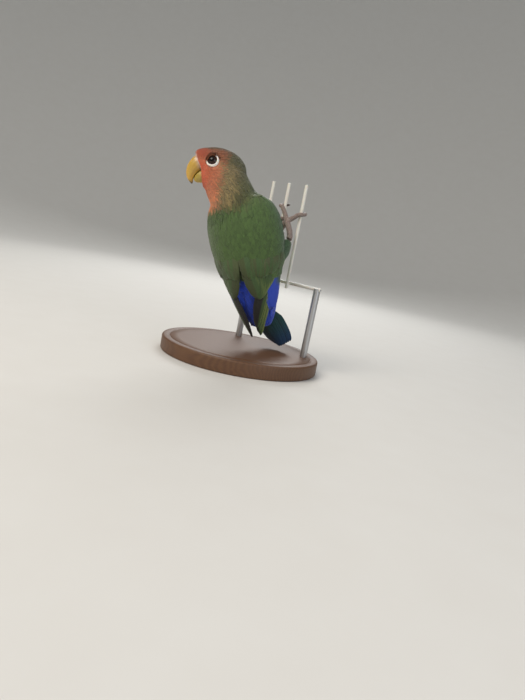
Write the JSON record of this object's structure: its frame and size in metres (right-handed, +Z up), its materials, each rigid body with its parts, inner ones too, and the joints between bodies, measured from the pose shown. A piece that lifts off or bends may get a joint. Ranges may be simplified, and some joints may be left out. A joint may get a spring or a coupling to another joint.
{
  "type": "peach-faced lovebird",
  "caption": "Still, life-size small parrot with its head turned aside, clinging to cut upright wires on a plain round display stand.",
  "frame": {"origin": "centre of the stand base's flat underside, on the surface it stands on", "axes": "+Z up, +X along the row of upright wires, +Y from the bird's back through the wires"},
  "size_m": [0.114, 0.114, 0.1407],
  "materials": {
    "body_plumage": "soft green feathers",
    "neck_plumage": "soft olive feathers",
    "face_plumage": "fine peach feathers",
    "wing_plumage": "smooth green feathers",
    "tail_plumage": "smooth teal and blue feathers",
    "bill_horn": "satin horn",
    "eye": "wet gloss",
    "foot_skin": "scaly grey skin",
    "claw_horn": "satin dark horn",
    "coated_wire": "smooth white coating",
    "stand_steel": "fine brushed",
    "stand_wood": "satin varnish"
  },
  "bodies": {
    "root": {"torso": "body_plumage", "neck": "neck_plumage", "head": "face_plumage", "thigh_left": "body_plumage", "thigh_right": "body_plumage", "wing_left": "wing_plumage", "wing_right": "wing_plumage", "tail": "tail_plumage", "bill_upper": "bill_horn", "bill_lower": "bill_horn", "eye_left": "eye", "eye_right": "eye", "foot_left": "foot_skin", "foot_right": "foot_skin", "claw_left_1": "claw_horn", "claw_left_2": "claw_horn", "claw_left_3": "claw_horn", "claw_left_4": "claw_horn", "claw_right_1": "claw_horn", "claw_right_2": "claw_horn", "claw_right_3": "claw_horn", "claw_right_4": "claw_horn", "perch_wire_1": "coated_wire", "perch_wire_2": "coated_wire", "perch_wire_3": "coated_wire", "perch_crosswire": "coated_wire", "stand_rod_left": "stand_steel", "stand_rod_right": "stand_steel", "stand_base": "stand_wood"}
  },
  "joints": []
}
